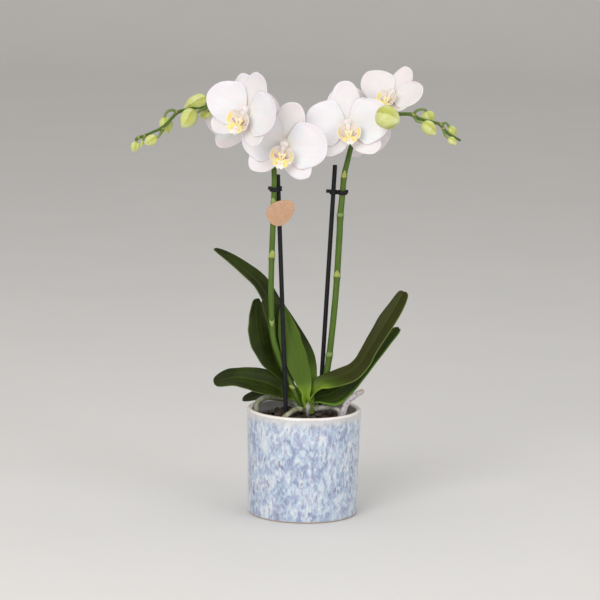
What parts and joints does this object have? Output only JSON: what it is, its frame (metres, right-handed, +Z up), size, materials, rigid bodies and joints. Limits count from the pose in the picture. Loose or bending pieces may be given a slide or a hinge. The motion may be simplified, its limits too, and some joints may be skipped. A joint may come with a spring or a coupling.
{
  "type": "potted moth orchid",
  "caption": "White moth orchid with arching flower spikes on black stakes, growing in bark in a round pot with a mottled pale blue glaze.",
  "frame": {"origin": "middle of the pot's flat foot, on the surface that it stands on", "axes": "+Z up, -Y to the front, the way that the open blooms face, +X to the right of someone who faces them"},
  "size_m": [0.2966, 0.1196, 0.4125],
  "materials": {
    "glaze": "glossy reactive glaze, white, pale blue and lavender in short upright streaks, cream at the rim",
    "clear_plastic": "thin clear culture pot",
    "bark": "dark damp bark chips, matt",
    "crown": "fresh light green stem, satin",
    "leaf": "dark green leathery leaf with a soft wax gloss and a midrib",
    "root": "silver grey skin over green, matt",
    "stalk": "green stalk and yellow green buds, satin",
    "petal": "white petal with a faint lilac edge and fine veins, satin",
    "lip": "white and yellow lip with fine magenta streaks, satin",
    "black_plastic": "black moulded plastic",
    "kraft_card": "plain brown kraft card"
  },
  "bodies": {
    "root": {"pot": "glaze", "grow_pot": "clear_plastic", "bark": "bark", "crown": "crown", "leaf_back_left": "leaf", "leaf_notched": "leaf", "leaf_middle": "leaf", "leaf_left": "leaf", "leaf_low_left": "leaf", "leaf_right": "leaf", "leaf_low_right": "leaf", "root_left_arch": "root", "root_front": "root", "root_stub": "root", "root_right": "root", "root_silver": "root", "spike_left": "stalk", "spike_right": "stalk", "bloom_1": "petal", "bloom_2": "petal", "bloom_3": "petal", "bloom_4": "petal", "bloom_5": "petal", "bloom_6": "petal", "bloom_1_lip": "lip", "bloom_2_lip": "lip", "bloom_3_lip": "lip", "bloom_4_lip": "lip", "bloom_5_lip": "lip", "bloom_6_lip": "lip", "stake_left": "black_plastic", "stake_right": "black_plastic", "clip_left": "black_plastic", "clip_right": "black_plastic", "tag": "kraft_card"}
  },
  "joints": []
}
